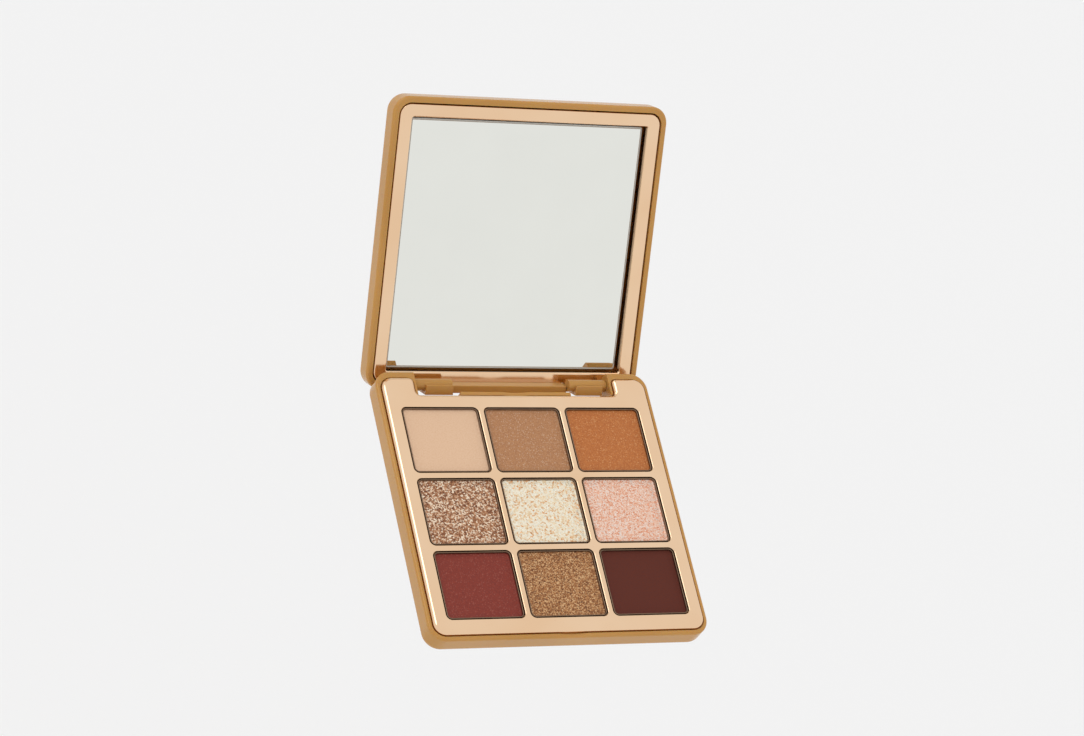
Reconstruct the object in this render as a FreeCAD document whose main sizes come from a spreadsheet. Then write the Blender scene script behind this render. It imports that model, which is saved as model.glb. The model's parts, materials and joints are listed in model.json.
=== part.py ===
import FreeCAD, Part
import math
import os
import Sketcher

# A slim eyeshadow palette: a square tub with nine pressed powders under a lid with a mirror.
# Lengths are in millimetres. X points to the right, Y to the hinge at the back and Z up, and
# the origin is the middle of the flat underside. The lid is built closed, then swung open
# about the hinge pins to the angle at which it stops.

doc = FreeCAD.newDocument("eyeshadow_palette")

# ---------------------------------------------------------------- driving dimensions

driving = {
    "width": 82.5,              # outside of both shells, left to right
    "depth": 81.4,              # outside of both shells, front to back
    "corner_radius": 4.8,       # corners of the outline
    "base_height": 6.7,         # underside to rim
    "lid_height": 6.2,          # rim to top face
    "parting_gap": 1.05,        # between the two rims when closed
    "edge_round": 1.9,          # underside edge of the tub and top edge of the lid
    "rim_round": 0.75,          # outer edges of both rims
    "crisp_round": 0.2,         # small moulded edges
    "floor_thick": 1.7,         # floor of the tub
    "base_rim": 1.1,            # width of the tub's rim
    "base_wall": 2.1,           # wall of the tub below the tray
    "lid_rim": 1.7,             # width of the lid's rim
    "roof_thick": 1.5,          # top of the lid
    "opening_angle": 135.6,     # lid angle at its stop
    "hinge_inset": 2.58,        # hinge axis to the back of the shells
    "hinge_drop": 2.87,         # hinge axis below the tub's rim
    "slot_width": 58.7,         # open slot between the corner posts
    "slot_front": 34.3,         # front of that slot, behind the middle wall
    "knuckle_front": 32.9,      # front of the slot beside the middle wall
    "rear_wall_front": 31.9,    # front of the tub's rear wall
    "middle_wall": 33.4,        # width of the middle wall
    "scoop_width": 8.2,         # shallow dip in the top of the middle wall
    "scoop_depth": 0.45,
    "barrel_radius": 1.7,       # lid knuckles
    "barrel_outer": 29.2,       # ends of a knuckle, from the middle
    "barrel_inner": 17.8,
    "arm_long": 8.2,            # block that carries a knuckle, left to right
    "arm_left": -21.85,         # middle of the left block
    "arm_right": 23.65,         # middle of the right block
    "arm_thick": 2.8,
    "arm_setback": 0.3,         # block and flap behind the lid's rear face
    "arm_reach": 5.35,          # block below the tub's rim when closed
    "arm_root": 0.4,            # block carried up into the lid's rim
    "flap_width": 35.4,         # flap that closes the slot between the knuckles
    "flap_thick": 2.15,
    "flap_reach": 3.05,         # flap below the tub's rim when closed
    "pin_radius": 0.75,
    "pin_play": 0.05,           # running clearance round the pin
    "pin_seat": 4.0,            # pin pressed into the post
    "pin_end": 19.8,            # inner end of the pin, from the middle
    "pin_chamfer": 0.15,
    "tray_proud": 1.0,          # tray face above the tub's rim
    "tray_plate": 1.8,          # thickness of the tray's face plate
    "tray_gap": 0.3,            # groove between tray and tub
    "tray_round": 1.1,          # outer edge of the tray
    "tray_rear": 33.0,          # rear edge of the tray between the ears
    "ear_rear": 38.4,           # rear edge of the tray's ears
    "ear_inner": 30.2,          # inner edge of an ear, from the middle
    "ear_corner": 1.4,          # plan corners of the ears
    "well_long": 22.86,         # opening for a pan, left to right
    "well_short": 20.26,        # opening for a pan, front to back
    "well_corner": 1.6,
    "well_round": 0.3,          # edge of the opening
    "well_wall": 1.0,           # tray wall round the wells
    "well_floor": 1.0,
    "pitch_long": 24.44,        # pan to pan, left to right
    "pitch_short": 21.94,       # pan to pan, front to back
    "grid_forward": 3.08,       # middle pan ahead of the middle of the tub
    "pan_gap": 0.28,            # pan to well
    "pan_height": 4.65,
    "pan_wall": 0.3,
    "pan_lip_round": 0.12,
    "pad_thick": 0.15,          # adhesive pad under a pan
    "pad_long": 17.0,
    "pad_short": 14.0,
    "powder_drop": 0.8,         # powder below the pan's lip
    "powder_edge": 0.12,        # worn edge of the powder
    "magnet_long": 8.0,
    "magnet_side": 1.8,
    "magnet_across": 30.0,      # magnet from the middle
    "magnet_forward": 37.45,    # magnet ahead of the middle
    "magnet_cover": 0.9,        # frame material in front of a lid magnet
    "frame_drop": 0.05,         # mirror frame below the lid's rim
    "frame_gap": 0.35,          # groove between frame and lid
    "frame_round": 0.5,         # edges of the frame's face
    "frame_corner": 3.2,        # outer corners of the frame
    "sight_width": 71.1,        # opening over the mirror
    "sight_front": 35.1,
    "sight_rear": 35.4,
    "sight_corner": 0.6,
    "sight_depth": 2.4,         # mirror behind the frame's face
    "glass_gap": 0.6,           # mirror to the edge of that opening
    "glass_thick": 1.3,
    "glass_bevel": 0.15,
}

sheet = doc.addObject("Spreadsheet::Sheet", "Sizes")
sheet.Label = "driving dimensions"
for row, (name, value) in enumerate(driving.items(), start=1):
    sheet.set("A%d" % row, name)
    sheet.set("B%d" % row, str(value))
    sheet.setAlias("B%d" % row, name)
doc.recompute()

# Heights and places that several pieces share, as rules over the sheet.
half_width = "Sizes.width / 2"
half_depth = "Sizes.depth / 2"
tray_top = "(Sizes.base_height + Sizes.tray_proud)"
ledge_height = "(Sizes.base_height + Sizes.tray_proud - Sizes.tray_plate)"
well_base = "(Sizes.floor_thick + Sizes.well_floor)"
pan_base = "(Sizes.floor_thick + Sizes.well_floor + Sizes.pad_thick)"
tray_edge_x = "(Sizes.width / 2 - Sizes.base_rim - Sizes.tray_gap)"
tray_edge_y = "(Sizes.depth / 2 - Sizes.base_rim - Sizes.tray_gap)"
hinge_y = "(Sizes.depth / 2 - Sizes.hinge_inset)"
hinge_z = "(Sizes.base_height - Sizes.hinge_drop)"
lid_rim_z = "(Sizes.base_height + Sizes.parting_gap)"
lid_top_z = "(Sizes.base_height + Sizes.parting_gap + Sizes.lid_height)"
roof_z = "(Sizes.base_height + Sizes.parting_gap + Sizes.lid_height - Sizes.roof_thick)"
frame_face_z = "(Sizes.base_height + Sizes.parting_gap + Sizes.frame_drop)"
glass_face_z = "(Sizes.base_height + Sizes.parting_gap + Sizes.frame_drop + Sizes.sight_depth)"


def value_of(rule):
    """The number that a rule over the sheet gives."""
    return float(sheet.evalExpression(rule))


# ---------------------------------------------------------------- sketches and features

def start_body(label):
    body = doc.addObject("PartDesign::Body", label)
    body.Label = label
    return body


def start_sketch(body, plane, name, across=None, up=None, lift=None):
    """A sketch on an origin plane of the body, moved along, up and off that plane by rules."""
    sketch = body.newObject("Sketcher::SketchObject", name)
    support = [item for item in body.Origin.OriginFeatures if item.Role == plane][0]
    sketch.AttachmentSupport = [(support, "")]
    sketch.MapMode = "FlatFace"
    for axis, rule in (("x", across), ("y", up), ("z", lift)):
        if rule is not None:
            sketch.setExpression(".AttachmentOffset.Base." + axis, rule)
    return sketch


def bind(sketch, constraint, name, rule):
    """Adds a dimension to a sketch and ties it to a rule over the sheet."""
    index = sketch.addConstraint(constraint)
    sketch.renameConstraint(index, name)
    sketch.setExpression("Constraints." + name, rule)


def outline(sketch, sides, corners):
    """A closed outline of upright and level sides, drawn counter-clockwise.

    A side is ("x", rule) for an upright line at that x, or ("y", rule) for a level line at
    that y. corners[i] is the rule for the radius between side i and the next, or None.
    """
    count = len(sides)
    places = [value_of(rule) for _, rule in sides]
    radii = [0.0 if rule is None else value_of(rule) for rule in corners]
    points = []
    for i in range(count):
        j = (i + 1) % count
        x, y = (places[i], places[j]) if sides[i][0] == "x" else (places[j], places[i])
        points.append(FreeCAD.Vector(x, y, 0))
    ways = [(points[i] - points[i - 1]).normalize() for i in range(count)]
    tag = "g%d_" % sketch.GeometryCount
    lines = []
    for i in range(count):
        start = points[i - 1] + ways[i] * radii[i - 1]
        end = points[i] - ways[i] * radii[i]
        lines.append(sketch.addGeometry(Part.LineSegment(start, end), False))
    for i in range(count):
        j = (i + 1) % count
        if radii[i] == 0.0:
            sketch.addConstraint(Sketcher.Constraint("Coincident", lines[i], 2, lines[j], 1))
            continue
        centre = points[i] + (ways[j] - ways[i]) * radii[i]
        left_turn = ways[i].cross(ways[j]).z > 0
        from_way = -ways[j] if left_turn else ways[i]
        start_angle = math.atan2(from_way.y, from_way.x)
        circle = Part.Circle(centre, FreeCAD.Vector(0, 0, 1), radii[i])
        arc = sketch.addGeometry(
            Part.ArcOfCircle(circle, start_angle, start_angle + math.pi / 2), False)
        near, far = (1, 2) if left_turn else (2, 1)
        along, across = ("Horizontal", "Vertical") if sides[i][0] == "x" else ("Vertical", "Horizontal")
        sketch.addConstraint(Sketcher.Constraint("Coincident", lines[i], 2, arc, near))
        sketch.addConstraint(Sketcher.Constraint("Coincident", arc, far, lines[j], 1))
        sketch.addConstraint(Sketcher.Constraint(along, arc, near, arc, 3))
        sketch.addConstraint(Sketcher.Constraint(across, arc, far, arc, 3))
        radius = Sketcher.Constraint("Radius", arc, radii[i])
        bind(sketch, radius, "%scorner_%d" % (tag, i), corners[i])
    for i, (axis, rule) in enumerate(sides):
        upright = axis == "x"
        sketch.addConstraint(Sketcher.Constraint("Vertical" if upright else "Horizontal", lines[i]))
        kind = "DistanceX" if upright else "DistanceY"
        place = Sketcher.Constraint(kind, lines[i], 1, places[i])
        bind(sketch, place, "%sside_%d" % (tag, i), rule)


def rectangle(sketch, left, right, front, rear, corner=None):
    """A rectangle between four rules, with one corner radius or sharp corners."""
    sides = [("y", front), ("x", right), ("y", rear), ("x", left)]
    outline(sketch, sides, [corner] * 4)


def centred(sketch, half_x, half_y, corner=None):
    """A rectangle centred on the sketch's origin."""
    rectangle(sketch, "-(%s)" % half_x, half_x, "-(%s)" % half_y, half_y, corner)


def disc(sketch, radius):
    """A circle about the sketch's origin."""
    circle = Part.Circle(FreeCAD.Vector(0, 0, 0), FreeCAD.Vector(0, 0, 1), value_of(radius))
    index = sketch.addGeometry(circle, False)
    sketch.addConstraint(Sketcher.Constraint("Coincident", index, 3, -1, 1))
    bind(sketch, Sketcher.Constraint("Radius", index, value_of(radius)), "radius", radius)


def pad(body, sketch, name, length, downward=False):
    feature = body.newObject("PartDesign::Pad", name)
    feature.Profile = sketch
    feature.setExpression("Length", length)
    feature.Reversed = downward
    doc.recompute()
    return feature


def pocket(body, sketch, name, length=None, along_normal=False, both_ways=False):
    """Cuts a sketch out of the body, through everything when no length is given."""
    before = body.Tip.Shape.Volume
    feature = body.newObject("PartDesign::Pocket", name)
    feature.Profile = sketch
    if length is None:
        feature.Type = "ThroughAll"
    else:
        feature.setExpression("Length", length)
    feature.Reversed = along_normal
    if both_ways:
        feature.SideType = "Symmetric"
    doc.recompute()
    if feature.Shape.Volume > before - 0.01:
        raise RuntimeError("%s cuts nothing from %s" % (name, body.Label))
    return feature


def dress(body, kind, name, radius, pick):
    """Rounds or chamfers the edges of the body's tip that pick() accepts."""
    base = body.Tip
    names = ["Edge%d" % (i + 1) for i, edge in enumerate(base.Shape.Edges) if pick(edge)]
    feature = body.newObject(kind, name)
    feature.Base = (base, names)
    feature.setExpression("Radius" if kind.endswith("Fillet") else "Size", radius)
    doc.recompute()
    return feature


def level_at(height_rule):
    """Picks the edges that lie level at a height."""
    height = value_of(height_rule)

    def pick(edge):
        box = edge.BoundBox
        return abs(box.ZMin - height) < 0.001 and abs(box.ZMax - height) < 0.001
    return pick


def inside(pick, half_x, front, rear):
    """Keeps the picked edges that lie within a rectangle of the plan."""
    reach = value_of(half_x) + 0.01
    low = value_of(front) - 0.01
    high = value_of(rear) + 0.01

    def narrower(edge):
        box = edge.BoundBox
        within = max(-box.XMin, box.XMax) < reach and box.YMin > low and box.YMax < high
        return within and pick(edge)
    return narrower


def move(item, x=None, y=None, z=None):
    for axis, rule in (("x", x), ("y", y), ("z", z)):
        if rule is not None:
            item.setExpression(".Placement.Base." + axis, rule)


def box(name, long, deep, high):
    item = doc.addObject("Part::Box", name)
    item.setExpression("Length", long)
    item.setExpression("Width", deep)
    item.setExpression("Height", high)
    return item


def group(label, items):
    """Separate solids that share one node."""
    doc.recompute()
    compound = doc.addObject("Part::Compound", label)
    compound.Label = label
    compound.Links = items
    return compound


def swing_open(item):
    """Turns a piece of the closed lid about the hinge axis to its stop."""
    rule = ("placement(vector(0; 0; 0); rotation(vector(1; 0; 0); -Sizes.opening_angle); "
            "vector(0; %s; %s))" % (hinge_y, hinge_z))
    item.setExpression("Placement", rule)


# ---------------------------------------------------------------- plans shared by pieces

def tray_plan(sketch, grow):
    """The tray's outline with its two ears beside the hinge slot, grown by a rule."""
    outer = "Sizes.corner_radius - Sizes.base_rim - Sizes.tray_gap + %s" % grow
    convex = "Sizes.ear_corner + %s" % grow
    concave = "Sizes.ear_corner - %s" % grow
    side = "%s + %s" % (tray_edge_x, grow)
    ear = "Sizes.ear_inner - %s" % grow
    ear_back = "Sizes.ear_rear + %s" % grow
    back = "Sizes.tray_rear + %s" % grow
    sides = [("y", "-(%s + %s)" % (tray_edge_y, grow)), ("x", side), ("y", ear_back), ("x", ear),
             ("y", back), ("x", "-(%s)" % ear), ("y", ear_back), ("x", "-(%s)" % side)]
    outline(sketch, sides, [outer, outer, convex, concave, concave, convex, outer, outer])


def magnet_plan(sketch):
    """The outlines of the two bar magnets near the front corners."""
    front = "-Sizes.magnet_forward - Sizes.magnet_side / 2"
    rear = "-Sizes.magnet_forward + Sizes.magnet_side / 2"
    for side in ("-", ""):
        middle = side + "Sizes.magnet_across"
        rectangle(sketch, middle + " - Sizes.magnet_long / 2",
                  middle + " + Sizes.magnet_long / 2", front, rear)


wells_half = "(Sizes.pitch_long + Sizes.well_long / 2)"
wells_front = "(-Sizes.grid_forward - Sizes.pitch_short - Sizes.well_short / 2)"
wells_rear = "(-Sizes.grid_forward + Sizes.pitch_short + Sizes.well_short / 2)"


# ---------------------------------------------------------------- the tub

def make_base_shell():
    body = start_body("base_shell")
    plan = start_sketch(body, "XY_Plane", "tub_outline")
    centred(plan, half_width, half_depth, "Sizes.corner_radius")
    pad(body, plan, "tub_block", "Sizes.base_height")
    dress(body, "PartDesign::Fillet", "underside_round", "Sizes.edge_round", level_at("0"))
    dress(body, "PartDesign::Fillet", "rim_round", "Sizes.rim_round",
          level_at("Sizes.base_height"))

    seat = start_sketch(body, "XY_Plane", "tray_seat_outline", lift="Sizes.base_height")
    tray_plan(seat, "Sizes.tray_gap")
    pocket(body, seat, "tray_seat", "Sizes.base_height - %s" % ledge_height)
    hollow = start_sketch(body, "XY_Plane", "hollow_outline", lift=ledge_height)
    wall_x = "%s - Sizes.base_wall" % half_width
    wall_y = "%s - Sizes.base_wall" % half_depth
    rectangle(hollow, "-(%s)" % wall_x, wall_x, "-(%s)" % wall_y, "Sizes.rear_wall_front",
              "Sizes.corner_radius - Sizes.base_wall")
    pocket(body, hollow, "hollow", "%s - Sizes.floor_thick" % ledge_height)

    bosses = start_sketch(body, "XY_Plane", "magnet_boss_outline", lift="Sizes.floor_thick")
    magnet_plan(bosses)
    pad(body, bosses, "magnet_bosses",
        "%s - Sizes.magnet_side - Sizes.floor_thick" % ledge_height)

    slot = start_sketch(body, "XY_Plane", "hinge_slot_outline", lift="Sizes.base_height")
    slot_x = "Sizes.slot_width / 2"
    middle_x = "Sizes.middle_wall / 2"
    beyond = "Sizes.depth"
    sides = [("y", "Sizes.knuckle_front"), ("x", "-" + middle_x), ("y", "Sizes.slot_front"),
             ("x", middle_x), ("y", "Sizes.knuckle_front"), ("x", slot_x), ("y", beyond),
             ("x", "-" + slot_x)]
    tight = "Sizes.crisp_round"
    outline(slot, sides, [tight, tight, tight, tight, tight, None, None, tight])
    pocket(body, slot, "hinge_slot")

    scoop = start_sketch(body, "XZ_Plane", "scoop_outline")
    scoop_radius = "(Sizes.scoop_width ^ 2 / 4 + Sizes.scoop_depth ^ 2) / (2 * Sizes.scoop_depth)"
    scoop.setExpression(".AttachmentOffset.Base.y",
                        "Sizes.base_height - Sizes.scoop_depth + %s" % scoop_radius)
    disc(scoop, scoop_radius)
    pocket(body, scoop, "scoop", both_ways=True)

    for side in (-1, 1):
        name = "left" if side < 0 else "right"
        seat_hole = start_sketch(body, "YZ_Plane", "pin_seat_%s_outline" % name, across=hinge_y,
                                 up=hinge_z, lift="%d * Sizes.slot_width / 2" % side)
        disc(seat_hole, "Sizes.pin_radius")
        pocket(body, seat_hole, "pin_seat_%s" % name, "Sizes.pin_seat", along_normal=side > 0)
    return body


# ---------------------------------------------------------------- the tray, pans and powders

def make_pan_tray():
    body = start_body("pan_tray")
    plate = start_sketch(body, "XY_Plane", "plate_outline", lift=ledge_height)
    tray_plan(plate, "0")
    pad(body, plate, "plate", "Sizes.tray_plate")
    block = start_sketch(body, "XY_Plane", "well_block_outline", lift=ledge_height)
    block_x = "%s + Sizes.well_wall" % wells_half
    rectangle(block, "-(%s)" % block_x, block_x, "%s - Sizes.well_wall" % wells_front,
              "%s + Sizes.well_wall" % wells_rear, "Sizes.well_corner")
    pad(body, block, "well_block", "%s - Sizes.floor_thick" % ledge_height, downward=True)
    dress(body, "PartDesign::Fillet", "face_round", "Sizes.tray_round", level_at(tray_top))

    well = start_sketch(body, "XY_Plane", "well_outline", across="-Sizes.pitch_long",
                        up="-Sizes.grid_forward - Sizes.pitch_short", lift=tray_top)
    centred(well, "Sizes.well_long / 2", "Sizes.well_short / 2", "Sizes.well_corner")
    first = pocket(body, well, "well", "%s - %s" % (tray_top, well_base))
    one_well = first.Shape.Volume
    pattern = body.newObject("PartDesign::LinearPattern", "wells")
    pattern.Originals = [first]
    pattern.Direction = (well, ["H_Axis"])
    pattern.Occurrences = 3
    pattern.setExpression("Length", "2 * Sizes.pitch_long")
    pattern.Direction2 = (well, ["V_Axis"])
    pattern.Occurrences2 = 3
    pattern.setExpression("Length2", "2 * Sizes.pitch_short")
    body.Tip = pattern
    doc.recompute()
    if pattern.Shape.Volume > one_well * 0.8:
        raise RuntimeError("the wells were not repeated")
    wells_only = inside(level_at(tray_top), wells_half, wells_front, wells_rear)
    dress(body, "PartDesign::Fillet", "well_round", "Sizes.well_round", wells_only)
    return body


pan_half_x = "(Sizes.well_long / 2 - Sizes.pan_gap)"
pan_half_y = "(Sizes.well_short / 2 - Sizes.pan_gap)"
pan_corner = "(Sizes.well_corner - Sizes.pan_gap)"


def stand_in_grid(item, column, row, height):
    """Moves a piece to the middle of one well."""
    move(item, "%d * Sizes.pitch_long" % column,
         "-Sizes.grid_forward + %d * Sizes.pitch_short" % row, height)


def make_pan(number, column, row):
    body = start_body("pan_%d" % number)
    rim = start_sketch(body, "XY_Plane", "pan_%d_outline" % number)
    centred(rim, pan_half_x, pan_half_y, pan_corner)
    pad(body, rim, "pan_%d_block" % number, "Sizes.pan_height")
    inner = start_sketch(body, "XY_Plane", "pan_%d_hollow_outline" % number,
                         lift="Sizes.pan_height")
    centred(inner, pan_half_x + " - Sizes.pan_wall", pan_half_y + " - Sizes.pan_wall",
            pan_corner + " - Sizes.pan_wall")
    pocket(body, inner, "pan_%d_hollow" % number, "Sizes.pan_height - Sizes.pan_wall")
    dress(body, "PartDesign::Fillet", "pan_%d_lip" % number, "Sizes.pan_lip_round",
          level_at("Sizes.pan_height"))
    stand_in_grid(body, column, row, pan_base)
    return body


def make_powder(label, column, row):
    body = start_body(label)
    cake_height = "Sizes.pan_height - Sizes.pan_wall - Sizes.powder_drop"
    plan = start_sketch(body, "XY_Plane", label + "_outline")
    centred(plan, pan_half_x + " - Sizes.pan_wall", pan_half_y + " - Sizes.pan_wall",
            pan_corner + " - Sizes.pan_wall")
    pad(body, plan, label + "_cake", cake_height)
    dress(body, "PartDesign::Chamfer", label + "_edge", "Sizes.powder_edge",
          level_at(cake_height))
    stand_in_grid(body, column, row, pan_base + " + Sizes.pan_wall")
    return body


def make_pan_adhesive(cells):
    pads = []
    for number, (column, row) in enumerate(cells, start=1):
        item = box("pad_%d" % number, "Sizes.pad_long", "Sizes.pad_short", "Sizes.pad_thick")
        move(item, "%d * Sizes.pitch_long - Sizes.pad_long / 2" % column,
             "-Sizes.grid_forward + %d * Sizes.pitch_short - Sizes.pad_short / 2" % row,
             well_base)
        pads.append(item)
    return group("pan_adhesive", pads)


# ---------------------------------------------------------------- hinge pins and magnets

def make_hinge_pin(side):
    """A steel pin, pressed into a post and running in a lid knuckle."""
    name = "left" if side < 0 else "right"
    body = start_body("hinge_pin_" + name)
    buried = "Sizes.slot_width / 2 + Sizes.pin_seat"
    start = "Sizes.pin_end" if side > 0 else "-(%s)" % buried
    section = start_sketch(body, "YZ_Plane", "pin_%s_section" % name, across=hinge_y,
                           up=hinge_z, lift=start)
    disc(section, "Sizes.pin_radius")
    pad(body, section, "pin_%s" % name, "%s - Sizes.pin_end" % buried)
    dress(body, "PartDesign::Chamfer", "pin_%s_ends" % name, "Sizes.pin_chamfer",
          lambda edge: edge.BoundBox.XLength < 0.001)
    return body


def make_magnets(label, bottom):
    bars = []
    for side in (-1, 1):
        bar = box("%s_%d" % (label, (side + 3) // 2), "Sizes.magnet_long", "Sizes.magnet_side",
                  "Sizes.magnet_side")
        move(bar, "%d * Sizes.magnet_across - Sizes.magnet_long / 2" % side,
             "-Sizes.magnet_forward - Sizes.magnet_side / 2", bottom)
        bars.append(bar)
    return group(label, bars)


# ---------------------------------------------------------------- the lid

def make_lid_shell():
    body = start_body("lid_shell")
    plan = start_sketch(body, "XY_Plane", "lid_outline", lift=lid_rim_z)
    centred(plan, half_width, half_depth, "Sizes.corner_radius")
    pad(body, plan, "lid_block", "Sizes.lid_height")
    dress(body, "PartDesign::Fillet", "top_round", "Sizes.edge_round", level_at(lid_top_z))
    dress(body, "PartDesign::Fillet", "lid_rim_round", "Sizes.rim_round", level_at(lid_rim_z))

    arm_back = "%s - Sizes.arm_setback" % half_depth
    flap_end = "Sizes.base_height - Sizes.flap_reach"
    flap = start_sketch(body, "XY_Plane", "flap_outline", lift=flap_end)
    rectangle(flap, "-Sizes.flap_width / 2", "Sizes.flap_width / 2",
              arm_back + " - Sizes.flap_thick", arm_back)
    pad(body, flap, "flap", "Sizes.flap_reach + Sizes.parting_gap + Sizes.arm_root")
    arm_end = "Sizes.base_height - Sizes.arm_reach"
    arms = start_sketch(body, "XY_Plane", "arm_outline", lift=arm_end)
    for middle in ("Sizes.arm_left", "Sizes.arm_right"):
        rectangle(arms, middle + " - Sizes.arm_long / 2", middle + " + Sizes.arm_long / 2",
                  arm_back + " - Sizes.arm_thick", arm_back)
    pad(body, arms, "arms", "Sizes.arm_reach + Sizes.parting_gap + Sizes.arm_root")

    hollow = start_sketch(body, "XY_Plane", "lid_hollow_outline", lift=lid_rim_z)
    centred(hollow, "%s - Sizes.lid_rim" % half_width, "%s - Sizes.lid_rim" % half_depth,
            "Sizes.frame_corner + Sizes.frame_gap")
    pocket(body, hollow, "lid_hollow", "%s - %s" % (roof_z, lid_rim_z), along_normal=True)
    for name, end in (("flap_end_round", flap_end), ("arm_end_round", arm_end)):
        dress(body, "PartDesign::Fillet", name, "Sizes.crisp_round", level_at(end))

    for side in (-1, 1):
        name = "left" if side < 0 else "right"
        start = "Sizes.barrel_inner" if side > 0 else "-Sizes.barrel_outer"
        section = start_sketch(body, "YZ_Plane", "barrel_%s_section" % name, across=hinge_y,
                               up=hinge_z, lift=start)
        disc(section, "Sizes.barrel_radius")
        pad(body, section, "barrel_%s" % name, "Sizes.barrel_outer - Sizes.barrel_inner")
        mouth = start_sketch(body, "YZ_Plane", "pin_bore_%s_outline" % name, across=hinge_y,
                             up=hinge_z, lift="%d * Sizes.barrel_outer" % side)
        disc(mouth, "Sizes.pin_radius + Sizes.pin_play")
        pocket(body, mouth, "pin_bore_%s" % name,
               "Sizes.barrel_outer - Sizes.pin_end + 4 * Sizes.pin_play", along_normal=side < 0)
    return body


def make_mirror_frame():
    body = start_body("mirror_frame")
    plan = start_sketch(body, "XY_Plane", "frame_outline", lift=frame_face_z)
    inset = "(Sizes.lid_rim + Sizes.frame_gap)"
    centred(plan, "%s - %s" % (half_width, inset), "%s - %s" % (half_depth, inset),
            "Sizes.frame_corner")
    pad(body, plan, "frame_block", "%s - %s" % (roof_z, frame_face_z))
    sight = start_sketch(body, "XY_Plane", "sight_outline", lift=frame_face_z)
    rectangle(sight, "-Sizes.sight_width / 2", "Sizes.sight_width / 2", "-Sizes.sight_front",
              "Sizes.sight_rear", "Sizes.sight_corner")
    pocket(body, sight, "sight", "%s - %s" % (roof_z, frame_face_z), along_normal=True)
    dress(body, "PartDesign::Fillet", "frame_face_round", "Sizes.frame_round",
          level_at(frame_face_z))
    cells = start_sketch(body, "XY_Plane", "magnet_cell_outline", lift=roof_z)
    magnet_plan(cells)
    pocket(body, cells, "magnet_cells", "%s - %s - Sizes.magnet_cover" % (roof_z, frame_face_z))
    return body


def make_mirror():
    body = start_body("mirror_glass")
    plan = start_sketch(body, "XY_Plane", "glass_outline", lift=glass_face_z)
    half_x = "(Sizes.sight_width / 2 - Sizes.glass_gap)"
    rectangle(plan, "-" + half_x, half_x, "-Sizes.sight_front + Sizes.glass_gap",
              "Sizes.sight_rear - Sizes.glass_gap", "Sizes.sight_corner")
    pad(body, plan, "glass_sheet", "Sizes.glass_thick")
    dress(body, "PartDesign::Chamfer", "glass_bevel", "Sizes.glass_bevel",
          level_at(glass_face_z))
    return body


def make_mirror_adhesive():
    glass_back = "(%s + Sizes.glass_thick)" % glass_face_z
    sheet_long = "Sizes.sight_width - 8 * Sizes.glass_gap"
    item = box("adhesive_film", sheet_long, sheet_long, "%s - %s" % (roof_z, glass_back))
    film = group("mirror_adhesive", [item])
    move(item, "-(%s) / 2" % sheet_long, "-(%s) / 2" % sheet_long, glass_back)
    return film


# ---------------------------------------------------------------- the whole palette

# Rows run from the hinge to the front, and each row from left to right.
shades = ["nude_matte", "taupe_satin", "copper_satin", "bronze_glitter", "champagne_glitter",
          "pink_glitter", "brick_satin", "gold_brown_shimmer", "espresso_matte"]
cells = [(column, row) for row in (1, 0, -1) for column in (-1, 0, 1)]

parts = [make_base_shell(), make_pan_tray()]
for number, (shade, (column, row)) in enumerate(zip(shades, cells), start=1):
    parts.append(make_pan(number, column, row))
    parts.append(make_powder("powder_%d_%s" % (number, shade), column, row))
parts.append(make_pan_adhesive(cells))
parts += [make_hinge_pin(-1), make_hinge_pin(1)]
parts.append(make_magnets("base_magnets", ledge_height + " - Sizes.magnet_side"))

lid_parts = [make_lid_shell(), make_mirror_frame(), make_mirror(), make_mirror_adhesive(),
             make_magnets("lid_magnets", frame_face_z + " + Sizes.magnet_cover")]
for item in lid_parts:
    swing_open(item)
parts += lid_parts
doc.recompute()

for item in doc.Objects:
    if "Invalid" in item.State or "Error" in item.State:
        raise RuntimeError("%s failed" % item.Label)
for item in parts:
    if item.Shape.isNull() or not item.Shape.isValid():
        raise RuntimeError("%s has no valid shape" % item.Label)

os.makedirs("parts", exist_ok=True)
for item in parts:
    item.Shape.exportStep("parts/%s.step" % item.Label)
    print("%-28s %9.2f mm3, %d solid(s)" % (item.Label, item.Shape.Volume, len(item.Shape.Solids)))
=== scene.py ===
import math
import bpy
import bmesh
from mathutils import Matrix, Quaternion, Vector, noise
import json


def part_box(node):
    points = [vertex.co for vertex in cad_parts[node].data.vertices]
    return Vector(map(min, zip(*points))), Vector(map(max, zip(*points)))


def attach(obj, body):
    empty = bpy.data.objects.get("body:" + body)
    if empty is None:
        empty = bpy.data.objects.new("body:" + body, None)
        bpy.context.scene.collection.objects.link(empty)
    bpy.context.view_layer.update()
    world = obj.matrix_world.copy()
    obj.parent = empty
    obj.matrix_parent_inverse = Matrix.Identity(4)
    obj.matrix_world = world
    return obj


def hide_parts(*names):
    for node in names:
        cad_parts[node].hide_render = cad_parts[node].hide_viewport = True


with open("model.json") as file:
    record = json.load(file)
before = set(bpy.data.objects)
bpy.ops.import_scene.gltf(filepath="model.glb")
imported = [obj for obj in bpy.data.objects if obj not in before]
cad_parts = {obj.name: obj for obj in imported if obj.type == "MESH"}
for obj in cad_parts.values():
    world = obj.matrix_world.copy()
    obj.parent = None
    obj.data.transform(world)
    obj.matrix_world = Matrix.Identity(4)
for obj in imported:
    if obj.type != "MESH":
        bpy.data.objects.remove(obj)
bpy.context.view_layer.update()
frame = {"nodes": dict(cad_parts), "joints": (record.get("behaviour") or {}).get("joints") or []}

# An open eyeshadow palette: caramel plastic shells, a rose-gold tray with nine pans of pressed
# powder, and a mirror in a rose-gold frame. Lengths are in metres unless a name says mm.

millimetre = 0.001
nodes = frame["nodes"]

# ---- helpers


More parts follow.
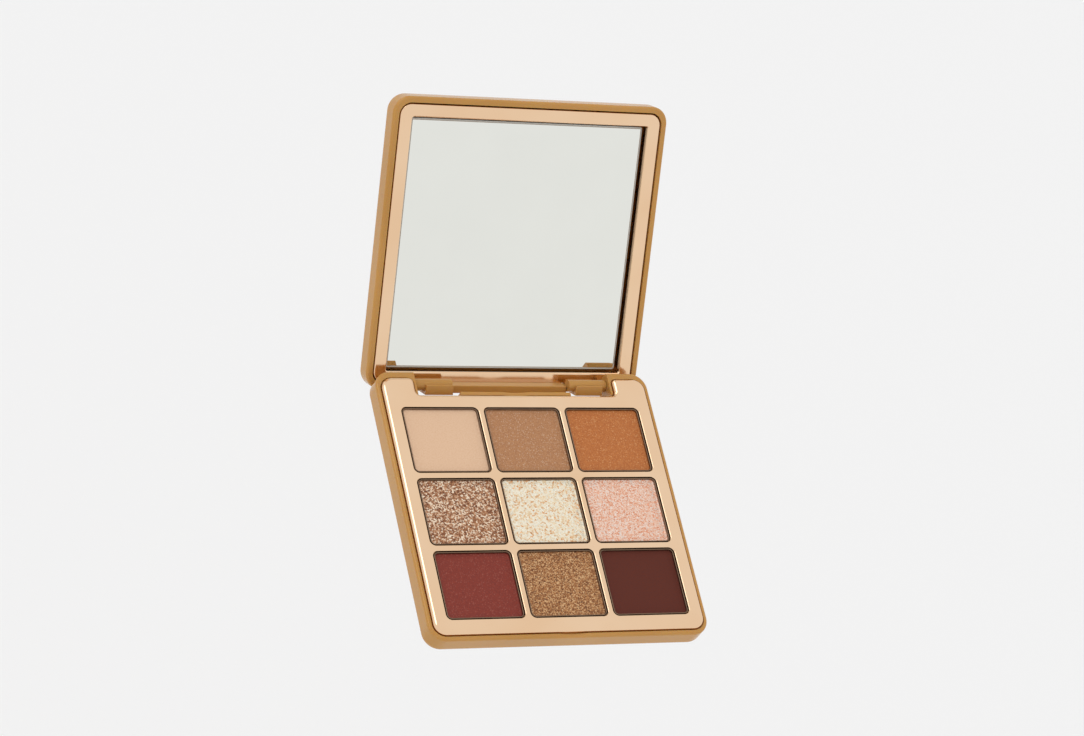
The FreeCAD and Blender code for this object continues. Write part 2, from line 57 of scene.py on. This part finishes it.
def toLinear(hexCode):
    # sRGB hex to the linear colour that the shaders take
    channels = [int(hexCode[i:i + 2], 16) / 255 for i in (1, 3, 5)]
    return [c / 12.92 if c <= 0.04045 else ((c + 0.055) / 1.055) ** 2.4 for c in channels] + [1.0]


def perMetre(sizeInMm):
    # texture scale that gives features of this size
    return 1000.0 / sizeInMm


def addNode(tree, kind, settings=None, links=None):
    # one node with its settings (socket values, options or colour stops) and what feeds it
    node = tree.nodes.new(kind)
    for key, value in (settings or {}).items():
        if key == "stops":
            elements = node.color_ramp.elements
            while len(elements) < len(value):
                elements.new(0.5)
            for element, (position, colour) in zip(elements, value):
                element.position = position
                element.color = toLinear(colour)
        elif isinstance(key, int) or key in node.inputs:
            node.inputs[key].default_value = value
        else:
            setattr(node, key, value)
    for key, source in (links or {}).items():
        tree.links.new(source, node.inputs[key])
    return node


def newMaterial(name, settings):
    # a material with one Principled shader, and the coordinates its patterns use
    material = bpy.data.materials.new(name)
    material.use_nodes = True
    tree = material.node_tree
    tree.nodes.clear()
    shader = addNode(tree, "ShaderNodeBsdfPrincipled", settings)
    addNode(tree, "ShaderNodeOutputMaterial", links={"Surface": shader.outputs["BSDF"]})
    place = addNode(tree, "ShaderNodeTexCoord").outputs["Object"]
    return material, tree, shader, place


def feedShader(tree, shader, pattern, colours=None, roughness=None, bump=None):
    # one pattern drives the colour, the roughness range and the bump (strength, depth in mm)
    if colours is not None:
        tint = addNode(tree, "ShaderNodeValToRGB", {"stops": colours}, {"Fac": pattern})
        tree.links.new(tint.outputs["Color"], shader.inputs["Base Color"])
    if roughness is not None:
        span = addNode(tree, "ShaderNodeMapRange", {
            "From Min": 0.35,
            "From Max": 0.7,
            "To Min": roughness[0],
            "To Max": roughness[1],
        }, {"Value": pattern})
        tree.links.new(span.outputs["Result"], shader.inputs["Roughness"])
    if bump is not None:
        relief = addNode(tree, "ShaderNodeBump", {
            "Strength": bump[0],
            "Distance": bump[1] * millimetre,
        }, {"Height": pattern})
        tree.links.new(relief.outputs["Normal"], shader.inputs["Normal"])


def noisePattern(tree, place, sizeMm, detail):
    # soft clouds with features of this size
    settings = {"Scale": perMetre(sizeMm), "Detail": detail}
    return addNode(tree, "ShaderNodeTexNoise", settings, {"Vector": place}).outputs["Fac"]


def dressNode(name, material):
    # gives a CAD node a better finish
    for materialSlot in nodes[name].material_slots:
        materialSlot.material = material
    if not nodes[name].material_slots:
        nodes[name].data.materials.append(material)


def addPiece(name, build, materials, body, replaced):
    # turns a finished bmesh into a piece that stands for a CAD node
    mesh = bpy.data.meshes.new(name)
    build.to_mesh(mesh)
    build.free()
    for material in materials:
        mesh.materials.append(material)
    piece = bpy.data.objects.new(name, mesh)
    bpy.context.scene.collection.objects.link(piece)
    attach(piece, body)
    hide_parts(replaced)
    return piece


# ---- shells: caramel ABS, injection moulded against a polished tool

caramel = {
    "deep": "#B88748",
    "pale": "#BF8E4F",
    "roughness": (0.19, 0.23),
    "sheenTint": "#FFE2B4",
    "cloudMm": 24.0,       # slow drift of the pigment in the melt
    "peelMm": 0.9,         # orange peel left by the tool
    "peelDepthMm": 0.004,
    "handlingMm": 5.0,     # faint dull patches from handling
}


def makeCaramelAbs():
    # glossy, evenly coloured; a little light gets in, so thin edges glow golden
    material, tree, shader, place = newMaterial("mouldedCaramelAbs", {
        "IOR": 1.54,
        "Specular Tint": toLinear(caramel["sheenTint"]),
        "Subsurface Weight": 0.25,
        "Subsurface Radius": (1.0, 0.55, 0.1),
        "Subsurface Scale": 0.0018,
    })
    feedShader(tree, shader, noisePattern(tree, place, caramel["cloudMm"], 3.0),
               colours=[(0.3, caramel["deep"]), (0.7, caramel["pale"])])
    feedShader(tree, shader, noisePattern(tree, place, caramel["handlingMm"], 4.0),
               roughness=caramel["roughness"])
    feedShader(tree, shader, noisePattern(tree, place, caramel["peelMm"], 1.0),
               bump=(0.25, caramel["peelDepthMm"]))
    return material


# ---- tray and mirror frame: ABS, vacuum metallised and lacquered rose gold

roseGold = {
    "warm": "#F0CBA5",
    "pale": "#F4D3B0",
    "roughness": (0.1, 0.18),
    "driftMm": 20.0,
    "waveMm": 9.0,         # slow wave of the moulded face under the metal
    "waveDepthMm": 0.012,
    "dustMm": 0.35,        # lacquer specks, drawn coarser than real ones
}


def makeRoseGoldPlate():
    # a clear, warm mirror finish, slightly soft because of the lacquer over it
    material, tree, shader, place = newMaterial("metallisedRoseGold", {"Metallic": 1.0})
    feedShader(tree, shader, noisePattern(tree, place, roseGold["driftMm"], 2.0),
               colours=[(0.3, roseGold["warm"]), (0.7, roseGold["pale"])])
    feedShader(tree, shader, noisePattern(tree, place, roseGold["dustMm"], 5.0),
               roughness=roseGold["roughness"])
    feedShader(tree, shader, noisePattern(tree, place, roseGold["waveMm"], 1.0),
               bump=(0.3, roseGold["waveDepthMm"]))
    return material


# ---- small metals and hidden films

metals = {
    "rolledTinplate": {"colours": ("#75604F", "#8A735F"), "roughness": (0.3, 0.45),
                       "grainMm": 0.25, "stretch": 0.1},
    "drawnSteel": {"colours": ("#A9A7A3", "#C2C0BC"), "roughness": (0.18, 0.32),
                   "grainMm": 0.2, "stretch": 0.08},
    "platedNickel": {"colours": ("#A8A49B", "#BDB9B0"), "roughness": (0.24, 0.38),
                     "grainMm": 0.4, "stretch": 1.0},
}


def makeMetal(name):
    # rolled or drawn metal: fine lines along X from the rolls or the die
    metal = metals[name]
    material, tree, shader, place = newMaterial(name, {"Metallic": 1.0})
    lined = addNode(tree, "ShaderNodeMapping", {"Scale": (metal["stretch"], 1.0, 1.0)},
                    {"Vector": place})
    grain = noisePattern(tree, lined.outputs["Vector"], metal["grainMm"], 3.0)
    feedShader(tree, shader, grain, [(0.3, metal["colours"][0]), (0.7, metal["colours"][1])],
               metal["roughness"], (0.2, 0.003))
    return material


def makeAdhesive():
    # acrylic foam tape: matt, milky and slightly pitted
    material, tree, shader, place = newMaterial("acrylicFoamTape", {"IOR": 1.47})
    feedShader(tree, shader, noisePattern(tree, place, 0.3, 3.0),
               [(0.3, "#D9D2C2"), (0.7, "#E6E0D2")], (0.68, 0.8), (0.4, 0.02))
    return material


# ---- mirror: float glass silvered on the back, with a ground edge

mirrorGlass = {
    "hazeLow": "#ECEDE7",
    "hazeHigh": "#EFF0EA",
    "smudgeMm": 16.0,
    "rimMm": 0.12,         # edge of the silver, where the backing paint shows
    "bevelMm": 0.4,        # ground edge
    "bevelSlope": 0.35,    # its depth as a share of its width
    "bevelColours": ("#BABEBC", "#CBCFCD"),
    # dark backing paint: real on the back face; on the side edge the same dark is painted shade for
    # the gap between the frame and the glass
    "paintAndGapShadeColours": ("#2A221F", "#39302B"),
    "rimColours": ("#8A7763", "#9E8B76"),
    "cornerMm": 0.6,
    "cornerSteps": 6,
}


def makeSilveredGlass():
    # almost perfectly sharp, a touch green from the glass, with faint wiping haze
    material, tree, shader, place = newMaterial("silveredGlass", {"Metallic": 1.0})
    feedShader(tree, shader, noisePattern(tree, place, mirrorGlass["smudgeMm"], 4.0),
               [(0.2, mirrorGlass["hazeLow"]), (0.8, mirrorGlass["hazeHigh"])], (0.003, 0.015))
    return material


def makeGroundGlass(name, colours, roughness):
    # glass ground by a belt: a soft grey line, brighter where the belt left it smooth
    material, tree, shader, place = newMaterial(name, {"IOR": 1.52})
    feedShader(tree, shader, noisePattern(tree, place, 0.4, 3.0),
               [(0.3, colours[0]), (0.7, colours[1])], roughness, (0.3, 0.01))
    return material


def makeMirrorPane():
    # the pane in the closed lid's place, turned open about the hinge like the lid itself
    joint = frame["joints"][0]
    hinge = Vector(joint["pos_m"])
    turn = Matrix.Rotation(math.radians(joint["range_deg"][1]), 4, "X")
    shut = Matrix.Translation(hinge) @ turn @ Matrix.Translation(-hinge)
    opened = shut.inverted()
    corners = [shut @ vertex.co for vertex in nodes["mirror_glass"].data.vertices]
    low = Vector([min(corner[axis] for corner in corners) for axis in range(3)])
    high = Vector([max(corner[axis] for corner in corners) for axis in range(3)])
    middle = (low + high) / 2
    halfX = (high.x - low.x) / 2
    halfY = (high.y - low.y) / 2

    def loop(inset, z):
        radius = max(mirrorGlass["cornerMm"] * millimetre - inset, 0.0001)
        points = []
        for quarter in range(4):
            signX = (1, -1, -1, 1)[quarter]
            signY = (1, 1, -1, -1)[quarter]
            centreX = middle.x + signX * (halfX - inset - radius)
            centreY = middle.y + signY * (halfY - inset - radius)
            for step in range(mirrorGlass["cornerSteps"] + 1):
                angle = (quarter + step / mirrorGlass["cornerSteps"]) * math.pi / 2
                points.append(opened @ Vector((centreX + radius * math.cos(angle),
                                               centreY + radius * math.sin(angle), z)))
        return points

    bevel = mirrorGlass["bevelMm"] * millimetre
    rim = bevel + mirrorGlass["rimMm"] * millimetre
    side = low.z + mirrorGlass["bevelSlope"] * bevel
    rings = [loop(0.0, high.z), loop(0.0, side), loop(bevel, low.z), loop(rim, low.z)]
    build = bmesh.new()
    verts = [[build.verts.new(point) for point in ring] for ring in rings]
    count = len(verts[0])
    # ring by ring: side edge in dark paint that stands as painted shade for the gap between frame and
    # glass, ground bevel, thin rim of paint
    for ring, index in ((0, 2), (1, 1), (2, 3)):
        for i in range(count):
            j = (i + 1) % count
            face = build.faces.new((verts[ring][i], verts[ring + 1][i], verts[ring + 1][j],
                                    verts[ring][j]))
            face.material_index = index
    build.faces.new(verts[3]).material_index = 0
    build.faces.new(verts[0]).material_index = 2
    bmesh.ops.recalc_face_normals(build, faces=build.faces)
    coats = [makeSilveredGlass(),
             makeGroundGlass("groundGlassEdge", mirrorGlass["bevelColours"], (0.35, 0.5)),
             # dark coat for the back (real backing paint) and the side edge (painted shade of the
             # gap)
             makeGroundGlass("backingPaintAndGapShade", mirrorGlass["paintAndGapShadeColours"], (0.5, 0.6)),
             makeGroundGlass("silverRim", mirrorGlass["rimColours"], (0.3, 0.4))]
    return addPiece("mirrorPane", build, coats, "lid", "mirror_glass")


# ---- pressed powders

shades = {
    "powder_1_nude_matte": {
        "kind": "matte", "slot": "nude_matte",
        "stops": [(0.3, "#DDB592"), (0.7, "#E5C2A3")],
        "seed": 3.0,
    },
    "powder_2_taupe_satin": {
        "kind": "satin", "slot": "taupe_satin",
        "stops": [(0.3, "#A36E48"), (0.7, "#BF8B5F")],
        "fleck": "#D9BCA2",
        "seed": 11.0,
    },
    "powder_3_copper_satin": {
        "kind": "satin", "slot": "copper_satin",
        "stops": [(0.3, "#A95B24"), (0.7, "#C67A3C")],
        "fleck": "#DFA870",
        "seed": 23.0,
    },
    # glitter stops climb to near white: the pale flakes are painted glint standing in for flakes
    # catching the light, on top of a real spread of flake colours
    "powder_4_bronze_glitter": {
        "kind": "glitter", "slot": "bronze_glitter",
        "stops": [(0.0, "#66371F"), (0.35, "#9A6440"), (0.6, "#C5916A"), (0.9, "#FAE6CC")],
        "flakeMm": 0.36,
        "seed": 37.0,
    },
    "powder_5_champagne_glitter": {
        "kind": "glitter", "slot": "champagne_glitter",
        "stops": [(0.0, "#D79B66"), (0.25, "#EED6B0"), (0.5, "#F3E7CE"), (0.9, "#FAF4E2")],
        "flakeMm": 0.45,
        "seed": 41.0,
    },
    "powder_6_pink_glitter": {
        "kind": "glitter", "slot": "pink_glitter",
        "stops": [(0.0, "#D98A66"), (0.3, "#EBB598"), (0.6, "#F2CBB4"), (0.95, "#F9E6DA")],
        "flakeMm": 0.32,
        "seed": 53.0,
    },
    "powder_7_brick_satin": {
        "kind": "satin", "slot": "brick_satin",
        "stops": [(0.3, "#732114"), (0.7, "#8C3220")],
        "fleck": "#A05A4C",
        "seed": 61.0,
    },
    # shimmer stops end in a pale gold that is painted glint, besides the real spread of flake colours
    "powder_8_gold_brown_shimmer": {
        "kind": "shimmer", "slot": "gold_brown_shimmer",
        "stops": [(0.0, "#5F3518"), (0.35, "#965E30"), (0.65, "#B67E4C"), (0.95, "#DFB686")],
        "flakeMm": 0.26,
        "seed": 71.0,
    },
    "powder_9_espresso_matte": {
        "kind": "matte", "slot": "espresso_matte",
        "stops": [(0.3, "#521D0F"), (0.7, "#602513")],
        "seed": 83.0,
    },
}

finishes = {
    "matte": {"roughness": (0.85, 0.95), "metallic": 0.0, "grainMm": 0.35, "tilt": 0.0,
              "stepMm": 0.3, "reliefMm": 0.02, "lumpMm": 1.1},
    "satin": {"roughness": (0.58, 0.72), "metallic": 0.1, "grainMm": 0.3, "tilt": 0.0,
              "stepMm": 0.3, "reliefMm": 0.02, "lumpMm": 0.9},
    "shimmer": {"roughness": (0.45, 0.6), "metallic": 0.3, "grainMm": 0.3, "tilt": 0.45,
                "stepMm": 0.18, "reliefMm": 0.03, "lumpMm": 0.35},
    "glitter": {"roughness": (0.34, 0.5), "metallic": 0.35, "grainMm": 0.45, "tilt": 0.7,
                "stepMm": 0.16, "reliefMm": 0.07, "lumpMm": 0.5},
}


def makePowder(name, shade):
    finish = finishes[shade["kind"]]
    material, tree, shader, place = newMaterial(name, {
        "IOR": 1.5,
        "Metallic": finish["metallic"],
    })
    grain = noisePattern(tree, place, finish["grainMm"], 3.0)
    if shade["kind"] in ("glitter", "shimmer"):
        # flakes of coated mica: each one leans its own way and takes its own tone from the stops,
        # whose pale end is painted glint on top of the real spread of flake colours
        flakes = addNode(tree, "ShaderNodeTexVoronoi", {"Scale": perMetre(shade["flakeMm"])},
                         {"Vector": place})
        tone = addNode(tree, "ShaderNodeSeparateColor", links={"Color": flakes.outputs["Color"]})
        feedShader(tree, shader, tone.outputs["Red"], shade["stops"], finish["roughness"])
        lean = addNode(tree, "ShaderNodeVectorMath", {"operation": "SUBTRACT", 1: (0.5, 0.5, 0.5)},
                       {0: flakes.outputs["Color"]})
        lean = addNode(tree, "ShaderNodeVectorMath", {"operation": "SCALE", "Scale": finish["tilt"]},
                       {0: lean.outputs["Vector"]})
        facing = addNode(tree, "ShaderNodeNewGeometry")
        lean = addNode(tree, "ShaderNodeVectorMath", {"operation": "ADD"},
                       {0: lean.outputs["Vector"], 1: facing.outputs["Normal"]})
        lean = addNode(tree, "ShaderNodeVectorMath", {"operation": "NORMALIZE"},
                       {0: lean.outputs["Vector"]})
        bump = addNode(tree, "ShaderNodeBump", {"Strength": 0.4, "Distance": 0.02 * millimetre},
                       {"Height": grain, "Normal": lean.outputs["Vector"]})
        tree.links.new(bump.outputs["Normal"], shader.inputs["Normal"])
        return material
    feedShader(tree, shader, grain, shade["stops"], finish["roughness"], (0.5, 0.03))
    if shade["kind"] == "satin":
        # a few mica specks among the pigment
        specks = addNode(tree, "ShaderNodeTexVoronoi", {"Scale": perMetre(0.24)}, {"Vector": place})
        tone = addNode(tree, "ShaderNodeSeparateColor", links={"Color": specks.outputs["Color"]})
        amount = addNode(tree, "ShaderNodeMapRange", {"From Min": 0.86, "To Max": 0.6},
                         {"Value": tone.outputs["Green"]})
        pigment = shader.inputs["Base Color"].links[0].from_socket
        mix = addNode(tree, "ShaderNodeMix", {"data_type": "RGBA", 7: toLinear(shade["fleck"])},
                      {0: amount.outputs["Result"], 6: pigment})
        tree.links.new(mix.outputs[2], shader.inputs["Base Color"])
    return material


cake = {
    "cornerMm": 1.02,      # corner radius inside the pan
    "slackMm": 0.02,       # hair of air between powder and pan
    "riseMm": 0.32,        # powder that the press pushed up the wall
    "riseWidthMm": 0.55,
    "crownMm": 0.06,       # slow unevenness of the pressed face
    "crownSizeMm": 7.0,
    "flakeShuffle": 53.0,  # spreads neighbouring flakes over unlike random leans
}


def pressedHeight(x, y, edge, shade, finish):
    # height of the pressed face, in mm, at a place in mm and a distance from the wall
    spot = Vector((x + shade["seed"], y - shade["seed"], shade["seed"]))
    height = cake["crownMm"] * noise.noise(spot / cake["crownSizeMm"])
    if edge < cake["riseWidthMm"]:
        height += cake["riseMm"] * (1.0 - edge / cake["riseWidthMm"]) ** 2
    if finish["tilt"] == 0.0:
        return height + finish["reliefMm"] * noise.noise(spot / finish["lumpMm"])
    near = noise.voronoi(spot / finish["lumpMm"])[1][0]
    lean = noise.cell_vector(near * cake["flakeShuffle"])
    away = spot / finish["lumpMm"] - near
    return height + finish["reliefMm"] * (lean.x * away.x + lean.y * away.y + 0.5 * lean.z)


def pressCake(name, shade, material):
    # a pressed powder: its own relief on top, a smooth side and floor in the pan
    finish = finishes[shade["kind"]]
    low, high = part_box(name)
    middle = (low + high) / 2
    halfX = (high.x - low.x) / 2 / millimetre - cake["slackMm"]
    halfY = (high.y - low.y) / 2 / millimetre - cake["slackMm"]
    radius = cake["cornerMm"]
    across = int(2 * halfX / finish["stepMm"])
    along = int(2 * halfY / finish["stepMm"])
    build = bmesh.new()
    grid = []
    for row in range(along + 1):
        line = []
        for column in range(across + 1):
            x = halfX * (2 * column / across - 1)
            y = halfY * (2 * row / along - 1)
            overX = abs(x) - (halfX - radius)
            overY = abs(y) - (halfY - radius)
            edge = min(halfX - abs(x), halfY - abs(y))
            if overX > 0 and overY > 0:
                # square corner drawn in to the rounded one
                pull = max(overX, overY) / math.hypot(overX, overY)
                edge = radius - max(overX, overY)
                x = math.copysign(halfX - radius + overX * pull, x)
                y = math.copysign(halfY - radius + overY * pull, y)
            z = high.z + pressedHeight(x, y, max(edge, 0.0), shade, finish) * millimetre
            line.append(build.verts.new((middle.x + x * millimetre, middle.y + y * millimetre, z)))
        grid.append(line)
    for row in range(along):
        for column in range(across):
            build.faces.new((grid[row][column], grid[row][column + 1], grid[row + 1][column + 1],
                             grid[row + 1][column])).smooth = True
    border = grid[0] + [line[-1] for line in grid[1:]] + grid[-1][-2::-1]
    border += [line[0] for line in grid[-2:0:-1]]
    foot = [build.verts.new((vertex.co.x, vertex.co.y, low.z)) for vertex in border]
    for i in range(len(border)):
        j = (i + 1) % len(border)
        build.faces.new((border[j], border[i], foot[i], foot[j]))
    build.faces.new(foot[::-1])
    return addPiece("cake_" + shade["slot"], build, [material], "base", name)


# ---- finishes on the CAD nodes

caramelAbs = makeCaramelAbs()
roseGoldPlate = makeRoseGoldPlate()
tinplate = makeMetal("rolledTinplate")
drawnSteel = makeMetal("drawnSteel")
nickel = makeMetal("platedNickel")
foamTape = makeAdhesive()
for node in ("base_shell", "lid_shell"):
    dressNode(node, caramelAbs)
for node in ("pan_tray", "mirror_frame"):
    dressNode(node, roseGoldPlate)
for number in range(1, 10):
    dressNode("pan_%d" % number, tinplate)
for node in ("hinge_pin_left", "hinge_pin_right"):
    dressNode(node, drawnSteel)
for node in ("base_magnets", "lid_magnets"):
    dressNode(node, nickel)
for node in ("pan_adhesive", "mirror_adhesive"):
    dressNode(node, foamTape)
print("finishes on the CAD nodes")

for name, shade in shades.items():
    pressCake(name, shade, makePowder("pressed_" + shade["slot"], shade))
print("nine pressed powders")

makeMirrorPane()
print("mirror pane")

# ---- floor, light and camera

studio = {
    "floorDrop": 0.55,       # floor below the palette
    "floorReach": 30.0,      # far enough that no edge of the floor is ever in view
    "floorColour": "#F4F4F4",
    "worldColour": "#FFFFFF",
    "worldStrength": 0.885,
    "keyStrength": 0.42,
    "keyAngle": 30.0,
    "keyFrom": (-0.46, 0.46, 0.76),
}

floorMesh = bpy.data.meshes.new("studioFloor")
floorBuild = bmesh.new()
bmesh.ops.create_grid(floorBuild, x_segments=8, y_segments=8, size=studio["floorReach"])
floorBuild.to_mesh(floorMesh)
floorBuild.free()
floor = bpy.data.objects.new("studioFloor", floorMesh)
bpy.context.scene.collection.objects.link(floor)
floor.location = (0, 0, -studio["floorDrop"])
floorMesh.materials.append(newMaterial("paintedFloor", {
    "Roughness": 0.9,
    "IOR": 1.4,
    "Base Color": toLinear(studio["floorColour"]),
})[0])

world = bpy.data.worlds.new("studioWorld")
bpy.context.scene.world = world
world.use_nodes = True
background = world.node_tree.nodes["Background"]
background.inputs["Color"].default_value = toLinear(studio["worldColour"])
background.inputs["Strength"].default_value = studio["worldStrength"]

keyLight = bpy.data.lights.new("keyLight", "SUN")
keyLight.energy = studio["keyStrength"]
keyLight.angle = math.radians(studio["keyAngle"])
key = bpy.data.objects.new("keyLight", keyLight)
bpy.context.scene.collection.objects.link(key)
key.rotation_mode = "QUATERNION"
key.rotation_quaternion = Vector(studio["keyFrom"]).to_track_quat("Z", "Y")

view = {
    "aim": (0.0098, 0.0421, 0.0067),
    "distance": 0.9491,
    "azimuth": -43.0,
    "elevation": 51.1,
    "roll": 36.5,
    "lens": 113.47,
    "sensor": 36.0,
}


def placeCamera():
    data = bpy.data.cameras.new("studioCamera")
    data.lens = view["lens"]
    data.sensor_width = view["sensor"]
    data.clip_start = 0.05
    data.clip_end = 200.0
    camera = bpy.data.objects.new("studioCamera", data)
    bpy.context.scene.collection.objects.link(camera)
    turn, rise = math.radians(view["azimuth"]), math.radians(view["elevation"])
    back = Vector((math.sin(turn) * math.cos(rise), -math.cos(turn) * math.cos(rise), math.sin(rise)))
    camera.location = Vector(view["aim"]) + back * view["distance"]
    camera.rotation_mode = "QUATERNION"
    facing = back.to_track_quat("Z", "Y")
    camera.rotation_quaternion = facing @ Quaternion((0, 0, 1), math.radians(view["roll"]))
    bpy.context.scene.camera = camera
    return camera


placeCamera()
bpy.context.scene.view_settings.view_transform = "Standard"
print("floor, light and camera")
